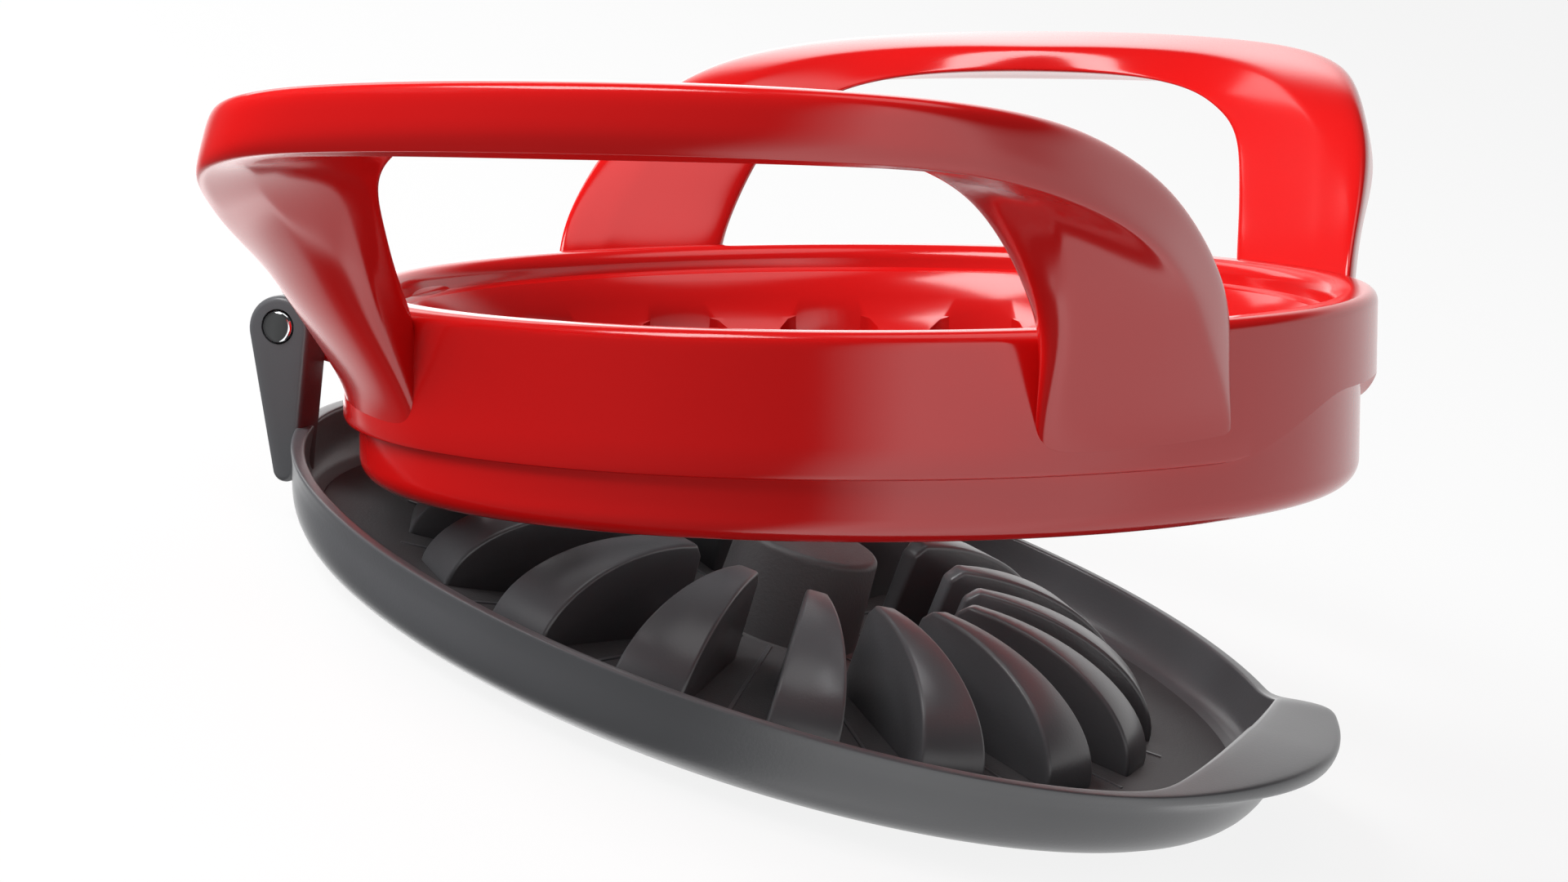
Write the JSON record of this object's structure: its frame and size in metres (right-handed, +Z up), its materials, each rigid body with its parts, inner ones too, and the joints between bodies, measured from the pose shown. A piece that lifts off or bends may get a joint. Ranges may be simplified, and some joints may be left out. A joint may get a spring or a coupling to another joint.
{
  "type": "apple slicer with hinged pusher base",
  "caption": "Round hand-press apple slicer and corer: red frame with flared side handles, radial steel blades and core ring, hinged over a dark pusher tray with domed fingers.",
  "frame": {"origin": "centre of the underside of the base, on the surface the tool stands on", "axes": "+X from the hinge to the thumb tab, +Y towards the rear handle, +Z up"},
  "size_m": [0.1475, 0.2112, 0.0906],
  "materials": {
    "red_plastic": "gloss",
    "dark_plastic": "satin",
    "soft_pad": "matte",
    "polished_pin": "polished",
    "zinc_screw": "satin",
    "blade_steel": "fine brushed"
  },
  "bodies": {
    "base": {"base_tray": "dark_plastic", "base_pad": "soft_pad", "pusher_plate": "dark_plastic", "plate_screws": "zinc_screw", "hinge_pin": "polished_pin"},
    "cutter": {"cutter_frame": "red_plastic", "blade_carrier": "red_plastic", "carrier_screws": "zinc_screw", "core_ring": "blade_steel", "blade_01": "blade_steel", "blade_02": "blade_steel", "blade_03": "blade_steel", "blade_04": "blade_steel", "blade_05": "blade_steel", "blade_06": "blade_steel", "blade_07": "blade_steel", "blade_08": "blade_steel", "blade_09": "blade_steel", "blade_10": "blade_steel", "blade_11": "blade_steel", "blade_12": "blade_steel", "blade_13": "blade_steel", "blade_14": "blade_steel", "blade_15": "blade_steel", "blade_16": "blade_steel"}
  },
  "joints": [
    {"name": "cutter_hinge", "type": "hinge", "parent": "base", "child": "cutter", "pos_m": [-0.0704, 0, 0.0237], "axis": [0, -1, 0], "range_deg": [-18.1, 102]}
  ]
}
